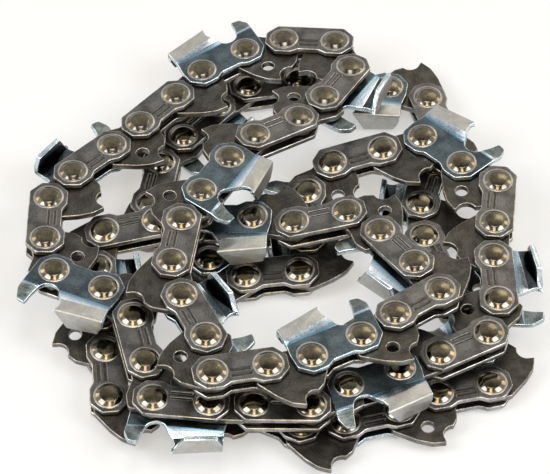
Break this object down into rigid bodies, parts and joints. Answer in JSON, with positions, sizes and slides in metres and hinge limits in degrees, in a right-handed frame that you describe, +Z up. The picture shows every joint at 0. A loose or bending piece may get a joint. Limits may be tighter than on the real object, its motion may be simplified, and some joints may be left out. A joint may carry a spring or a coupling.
{
  "type": "chainsaw chain loop",
  "caption": "Closed loop of riveted saw chain lying in a loose heap: hooked drive links between tie straps and folded cutters with depth gauges, pivoting on headed rivets.",
  "frame": {"origin": "on the ground under the middle of the heap's box", "axes": "+Z up, +X to the right and +Y away from the viewer of the picture"},
  "size_m": [0.1016, 0.1092, 0.0189],
  "materials": {
    "strap_steel": "dark burnished steel",
    "cutter_steel": "plated cutter steel with dark rivets and drive link"
  },
  "bodies": {
    "right_cutter_link_01": {"right_cutter_link_01": "cutter_steel"},
    "tie_link_02": {"tie_link_02": "strap_steel"},
    "left_cutter_link_03": {"left_cutter_link_03": "cutter_steel"},
    "tie_link_04": {"tie_link_04": "strap_steel"},
    "right_cutter_link_05": {"right_cutter_link_05": "cutter_steel"},
    "tie_link_06": {"tie_link_06": "strap_steel"},
    "left_cutter_link_07": {"left_cutter_link_07": "cutter_steel"},
    "tie_link_08": {"tie_link_08": "strap_steel"},
    "right_cutter_link_09": {"right_cutter_link_09": "cutter_steel"},
    "tie_link_10": {"tie_link_10": "strap_steel"},
    "left_cutter_link_11": {"left_cutter_link_11": "cutter_steel"},
    "tie_link_12": {"tie_link_12": "strap_steel"},
    "right_cutter_link_13": {"right_cutter_link_13": "cutter_steel"},
    "tie_link_14": {"tie_link_14": "strap_steel"},
    "left_cutter_link_15": {"left_cutter_link_15": "cutter_steel"},
    "tie_link_16": {"tie_link_16": "strap_steel"},
    "right_cutter_link_17": {"right_cutter_link_17": "cutter_steel"},
    "tie_link_18": {"tie_link_18": "strap_steel"},
    "left_cutter_link_19": {"left_cutter_link_19": "cutter_steel"},
    "tie_link_20": {"tie_link_20": "strap_steel"},
    "right_cutter_link_21": {"right_cutter_link_21": "cutter_steel"},
    "tie_link_22": {"tie_link_22": "strap_steel"},
    "left_cutter_link_23": {"left_cutter_link_23": "cutter_steel"},
    "tie_link_24": {"tie_link_24": "strap_steel"},
    "right_cutter_link_25": {"right_cutter_link_25": "cutter_steel"},
    "tie_link_26": {"tie_link_26": "strap_steel"},
    "left_cutter_link_27": {"left_cutter_link_27": "cutter_steel"},
    "tie_link_28": {"tie_link_28": "strap_steel"},
    "right_cutter_link_29": {"right_cutter_link_29": "cutter_steel"},
    "tie_link_30": {"tie_link_30": "strap_steel"},
    "left_cutter_link_31": {"left_cutter_link_31": "cutter_steel"},
    "tie_link_32": {"tie_link_32": "strap_steel"},
    "right_cutter_link_33": {"right_cutter_link_33": "cutter_steel"},
    "tie_link_34": {"tie_link_34": "strap_steel"},
    "left_cutter_link_35": {"left_cutter_link_35": "cutter_steel"},
    "tie_link_36": {"tie_link_36": "strap_steel"},
    "right_cutter_link_37": {"right_cutter_link_37": "cutter_steel"},
    "tie_link_38": {"tie_link_38": "strap_steel"},
    "left_cutter_link_39": {"left_cutter_link_39": "cutter_steel"},
    "tie_link_40": {"tie_link_40": "strap_steel"},
    "right_cutter_link_41": {"right_cutter_link_41": "cutter_steel"},
    "tie_link_42": {"tie_link_42": "strap_steel"},
    "left_cutter_link_43": {"left_cutter_link_43": "cutter_steel"},
    "tie_link_44": {"tie_link_44": "strap_steel"}
  },
  "joints": [
    {"name": "pivot_11", "type": "hinge", "parent": "tie_link_10", "child": "left_cutter_link_11", "pos_m": [0.0279, 0.00936, 0.00274], "axis": [0.0001, 0, 1], "range_deg": [-5, 5]},
    {"name": "pivot_12", "type": "hinge", "parent": "left_cutter_link_11", "child": "tie_link_12", "pos_m": [0.03347, 0.02757, 0.00274], "axis": [0.0003, 0.0001, 1], "range_deg": [-111.21, 73.79]},
    {"name": "pivot_13", "type": "hinge", "parent": "tie_link_12", "child": "right_cutter_link_13", "pos_m": [0.02232, 0.04057, 0.00274], "axis": [0.0003, 0.0017, 1], "range_deg": [-84.91, 100.09]},
    {"name": "pivot_14", "type": "hinge", "parent": "right_cutter_link_13", "child": "tie_link_14", "pos_m": [0.00344, 0.04289, 0.00274], "axis": [-0.0008, 0.0039, 1], "range_deg": [-89.09, 95.91]},
    {"name": "pivot_15", "type": "hinge", "parent": "tie_link_14", "child": "left_cutter_link_15", "pos_m": [-0.01327, 0.03525, 0.00274], "axis": [-0.0073, 0.0062, 1], "range_deg": [-83.19, 101.81]},
    {"name": "pivot_16", "type": "hinge", "parent": "left_cutter_link_15", "child": "tie_link_16", "pos_m": [-0.02451, 0.01993, 0.00274], "axis": [-0.0176, 0.004, 0.9998], "range_deg": [-96.23, 88.77]},
    {"name": "pivot_17", "type": "hinge", "parent": "tie_link_16", "child": "right_cutter_link_17", "pos_m": [-0.02196, 0.0023, 0.00279], "axis": [-0.0367, -0.024, 0.999], "range_deg": [-90.02, 94.98]},
    {"name": "pivot_18", "type": "hinge", "parent": "right_cutter_link_17", "child": "tie_link_18", "pos_m": [-0.00705, -0.00937, 0.00315], "axis": [-0.0417, -0.0549, 0.9976], "range_deg": [-111.38, 73.62]},
    {"name": "pivot_19", "type": "hinge", "parent": "tie_link_18", "child": "left_cutter_link_19", "pos_m": [0.00531, -0.00022, 0.00443], "axis": [-0.0754, -0.0994, 0.9922], "range_deg": [-88.35, 96.65]},
    {"name": "pivot_20", "type": "hinge", "parent": "left_cutter_link_19", "child": "tie_link_20", "pos_m": [0.01029, 0.01692, 0.00663], "axis": [-0.0828, -0.0734, 0.9939], "range_deg": [-38.37, 146.63]},
    {"name": "pivot_21", "type": "hinge", "parent": "tie_link_20", "child": "right_cutter_link_21", "pos_m": [0.02854, 0.02207, 0.00845], "axis": [-0.0725, -0.0178, 0.9972], "range_deg": [-14.42, 170.58]},
    {"name": "pivot_22", "type": "hinge", "parent": "right_cutter_link_21", "child": "tie_link_22", "pos_m": [0.04306, 0.00985, 0.009], "axis": [-0.0235, 0.0004, 0.9997], "range_deg": [-13.45, 171.55]},
    {"name": "pivot_23", "type": "hinge", "parent": "tie_link_22", "child": "left_cutter_link_23", "pos_m": [0.0413, -0.00911, 0.00891], "axis": [-0.0105, -0.0054, 0.9999], "range_deg": [-81.5, 103.5]},
    {"name": "pivot_24", "type": "hinge", "parent": "left_cutter_link_23", "child": "tie_link_24", "pos_m": [0.0394, -0.02782, 0.00883], "axis": [0.0014, -0.0048, 1], "range_deg": [-28.57, 156.43]},
    {"name": "pivot_25", "type": "hinge", "parent": "tie_link_24", "child": "right_cutter_link_25", "pos_m": [0.02228, -0.03616, 0.00882], "axis": [0.0062, -0.0131, 0.9999], "range_deg": [-72.58, 112.42]},
    {"name": "pivot_26", "type": "hinge", "parent": "right_cutter_link_25", "child": "tie_link_26", "pos_m": [0.00533, -0.04467, 0.00887], "axis": [0.0106, -0.0256, 0.9996], "range_deg": [-41.92, 143.08]},
    {"name": "pivot_27", "type": "hinge", "parent": "tie_link_26", "child": "left_cutter_link_27", "pos_m": [-0.01371, -0.0445, 0.00923], "axis": [0.0346, -0.0477, 0.9983], "range_deg": [-71.29, 113.71]},
    {"name": "pivot_28", "type": "hinge", "parent": "left_cutter_link_27", "child": "tie_link_28", "pos_m": [-0.0259, -0.03539, 0.01018], "axis": [0.0407, -0.047, 0.9981], "range_deg": [-78.4, 106.6]},
    {"name": "pivot_29", "type": "hinge", "parent": "tie_link_28", "child": "right_cutter_link_29", "pos_m": [-0.03427, -0.01893, 0.01124], "axis": [0.0185, 0.0005, 0.9998], "range_deg": [-99.31, 85.69]},
    {"name": "pivot_30", "type": "hinge", "parent": "right_cutter_link_29", "child": "tie_link_30", "pos_m": [-0.04621, -0.00662, 0.01124], "axis": [0.0241, 0.0432, 0.9988], "range_deg": [-59.3, 125.7]},
    {"name": "pivot_31", "type": "hinge", "parent": "tie_link_30", "child": "left_cutter_link_31", "pos_m": [-0.04163, 0.01113, 0.01019], "axis": [0.0135, 0.0604, 0.9981], "range_deg": [-61.9, 123.1]},
    {"name": "pivot_32", "type": "hinge", "parent": "left_cutter_link_31", "child": "tie_link_32", "pos_m": [-0.02864, 0.02502, 0.00923], "axis": [-0.0202, 0.0467, 0.9987], "range_deg": [-74.14, 110.86]},
    {"name": "pivot_10", "type": "hinge", "parent": "tie_link_10", "child": "right_cutter_link_09", "pos_m": [0.03176, -0.00913, 0.00274], "axis": [0, 0, -1], "range_deg": [-68.86, 116.14]},
    {"name": "pivot_09", "type": "hinge", "parent": "right_cutter_link_09", "child": "tie_link_08", "pos_m": [0.03809, -0.02703, 0.00274], "axis": [0, 0, -1], "range_deg": [-77.2, 107.8]},
    {"name": "pivot_08", "type": "hinge", "parent": "tie_link_08", "child": "left_cutter_link_07", "pos_m": [0.02968, -0.03762, 0.00274], "axis": [-0.0004, 0.0017, -1], "range_deg": [-60.21, 124.79]},
    {"name": "pivot_07", "type": "hinge", "parent": "left_cutter_link_07", "child": "tie_link_06", "pos_m": [0.01195, -0.04426, 0.00275], "axis": [-0.0022, 0.0056, -1], "range_deg": [-84.5, 100.5]},
    {"name": "pivot_06", "type": "hinge", "parent": "tie_link_06", "child": "right_cutter_link_05", "pos_m": [-0.00598, -0.04037, 0.00283], "axis": [-0.0009, 0.0104, -0.9999], "range_deg": [-69.73, 115.27]},
    {"name": "pivot_05", "type": "hinge", "parent": "right_cutter_link_05", "child": "tie_link_04", "pos_m": [-0.02442, -0.03834, 0.00318], "axis": [-0.0243, 0.0291, -0.9993], "range_deg": [-77.4, 107.6]},
    {"name": "pivot_04", "type": "hinge", "parent": "tie_link_04", "child": "left_cutter_link_03", "pos_m": [-0.0339, -0.02825, 0.00413], "axis": [-0.0184, 0.0525, -0.9985], "range_deg": [-71.1, 113.9]},
    {"name": "pivot_03", "type": "hinge", "parent": "left_cutter_link_03", "child": "tie_link_02", "pos_m": [-0.03609, -0.00943, 0.00591], "axis": [0.0402, 0.0962, -0.9945], "range_deg": [-87.61, 97.39]},
    {"name": "pivot_02", "type": "hinge", "parent": "tie_link_02", "child": "right_cutter_link_01", "pos_m": [-0.02449, 0.00067, 0.00816], "axis": [0.0931, 0.0876, -0.9918], "range_deg": [-86.49, 98.51]},
    {"name": "pivot_01", "type": "hinge", "parent": "right_cutter_link_01", "child": "tie_link_44", "pos_m": [-0.0056, -0.00038, 0.01026], "axis": [0.0985, 0.0251, -0.9948], "range_deg": [-85.58, 99.42]},
    {"name": "pivot_44", "type": "hinge", "parent": "tie_link_44", "child": "left_cutter_link_43", "pos_m": [0.01289, -0.00058, 0.01216], "axis": [0.0948, -0.0322, -0.995], "range_deg": [-127.77, 57.23]},
    {"name": "pivot_43", "type": "hinge", "parent": "left_cutter_link_43", "child": "tie_link_42", "pos_m": [0.02556, -0.01461, 0.01371], "axis": [0.0486, -0.047, -0.9977], "range_deg": [-79.42, 105.58]},
    {"name": "pivot_42", "type": "hinge", "parent": "tie_link_42", "child": "right_cutter_link_41", "pos_m": [0.02147, -0.02775, 0.01468], "axis": [-0.0044, -0.0625, -0.998], "range_deg": [-71.17, 113.83]},
    {"name": "pivot_41", "type": "hinge", "parent": "right_cutter_link_41", "child": "tie_link_40", "pos_m": [0.00553, -0.03801, 0.01525], "axis": [-0.0128, -0.0269, -0.9996], "range_deg": [-87.73, 97.27]},
    {"name": "pivot_40", "type": "hinge", "parent": "tie_link_40", "child": "left_cutter_link_39", "pos_m": [-0.01303, -0.04219, 0.0157], "axis": [-0.0224, 0.0052, -0.9997], "range_deg": [-166.63, 18.37]},
    {"name": "pivot_39", "type": "hinge", "parent": "left_cutter_link_39", "child": "tie_link_38", "pos_m": [-0.01912, -0.02438, 0.0161], "axis": [-0.0257, 0.0064, -0.9996], "range_deg": [-87.51, 97.49]},
    {"name": "pivot_38", "type": "hinge", "parent": "tie_link_38", "child": "right_cutter_link_37", "pos_m": [-0.01954, -0.00572, 0.01605], "axis": [-0.0338, -0.0072, -0.9994], "range_deg": [-92.59, 92.41]},
    {"name": "pivot_37", "type": "hinge", "parent": "right_cutter_link_37", "child": "tie_link_36", "pos_m": [-0.01041, 0.01095, 0.01488], "axis": [-0.0426, -0.0565, -0.9975], "range_deg": [-81.11, 103.89]},
    {"name": "pivot_36", "type": "hinge", "parent": "tie_link_36", "child": "left_cutter_link_35", "pos_m": [0.00345, 0.0234, 0.01274], "axis": [-0.0528, -0.1155, -0.9919], "range_deg": [-56.5, 128.5]},
    {"name": "pivot_35", "type": "hinge", "parent": "left_cutter_link_35", "child": "tie_link_34", "pos_m": [0.01415, 0.03896, 0.01062], "axis": [-0.0115, -0.1024, -0.9947], "range_deg": [-22.63, 162.37]},
    {"name": "pivot_34", "type": "hinge", "parent": "tie_link_34", "child": "right_cutter_link_33", "pos_m": [0.00059, 0.0479, 0.00933], "axis": [0.0412, -0.0762, -0.9962], "range_deg": [-51.71, 133.29]}
  ],
  "couplings": [
    {"joint": "pivot_12", "follows": "pivot_11", "ratio": -1.0342},
    {"joint": "pivot_13", "follows": "pivot_11", "ratio": 0.99567},
    {"joint": "pivot_14", "follows": "pivot_11", "ratio": -1.0356},
    {"joint": "pivot_15", "follows": "pivot_11", "ratio": 1.0006},
    {"joint": "pivot_16", "follows": "pivot_11", "ratio": -1.0306},
    {"joint": "pivot_17", "follows": "pivot_11", "ratio": 0.98994},
    {"joint": "pivot_18", "follows": "pivot_11", "ratio": -1.093},
    {"joint": "pivot_19", "follows": "pivot_11", "ratio": 0.86316},
    {"joint": "pivot_20", "follows": "pivot_11", "ratio": -1.0976},
    {"joint": "pivot_21", "follows": "pivot_11", "ratio": 1.0057},
    {"joint": "pivot_22", "follows": "pivot_11", "ratio": -1.0261},
    {"joint": "pivot_23", "follows": "pivot_11", "ratio": 0.98255},
    {"joint": "pivot_24", "follows": "pivot_11", "ratio": -1.0323},
    {"joint": "pivot_25", "follows": "pivot_11", "ratio": 0.99703},
    {"joint": "pivot_26", "follows": "pivot_11", "ratio": -1.0252},
    {"joint": "pivot_27", "follows": "pivot_11", "ratio": 1.0775},
    {"joint": "pivot_28", "follows": "pivot_11", "ratio": -0.93317},
    {"joint": "pivot_29", "follows": "pivot_11", "ratio": 1.021},
    {"joint": "pivot_30", "follows": "pivot_11", "ratio": -1.0736},
    {"joint": "pivot_31", "follows": "pivot_11", "ratio": 0.92787},
    {"joint": "pivot_32", "follows": "pivot_11", "ratio": -1.0456},
    {"joint": "pivot_10", "follows": "pivot_11", "ratio": -1.0266},
    {"joint": "pivot_09", "follows": "pivot_11", "ratio": 1.0089},
    {"joint": "pivot_08", "follows": "pivot_11", "ratio": -1.0239},
    {"joint": "pivot_07", "follows": "pivot_11", "ratio": 1.0068},
    {"joint": "pivot_06", "follows": "pivot_11", "ratio": -1.0286},
    {"joint": "pivot_05", "follows": "pivot_11", "ratio": 1.0624},
    {"joint": "pivot_04", "follows": "pivot_11", "ratio": -0.96435},
    {"joint": "pivot_03", "follows": "pivot_11", "ratio": 1.0402},
    {"joint": "pivot_02", "follows": "pivot_11", "ratio": -1.0433},
    {"joint": "pivot_01", "follows": "pivot_11", "ratio": 0.94641},
    {"joint": "pivot_44", "follows": "pivot_11", "ratio": -1.0207},
    {"joint": "pivot_43", "follows": "pivot_11", "ratio": 1.0498},
    {"joint": "pivot_42", "follows": "pivot_11", "ratio": -0.90264},
    {"joint": "pivot_41", "follows": "pivot_11", "ratio": 1.0638},
    {"joint": "pivot_40", "follows": "pivot_11", "ratio": -0.97552},
    {"joint": "pivot_39", "follows": "pivot_11", "ratio": 1.0393},
    {"joint": "pivot_38", "follows": "pivot_11", "ratio": -1.0126},
    {"joint": "pivot_37", "follows": "pivot_11", "ratio": 1.0114},
    {"joint": "pivot_36", "follows": "pivot_11", "ratio": -0.9566},
    {"joint": "pivot_35", "follows": "pivot_11", "ratio": 1.1295},
    {"joint": "pivot_34", "follows": "pivot_11", "ratio": -0.90025}
  ]
}
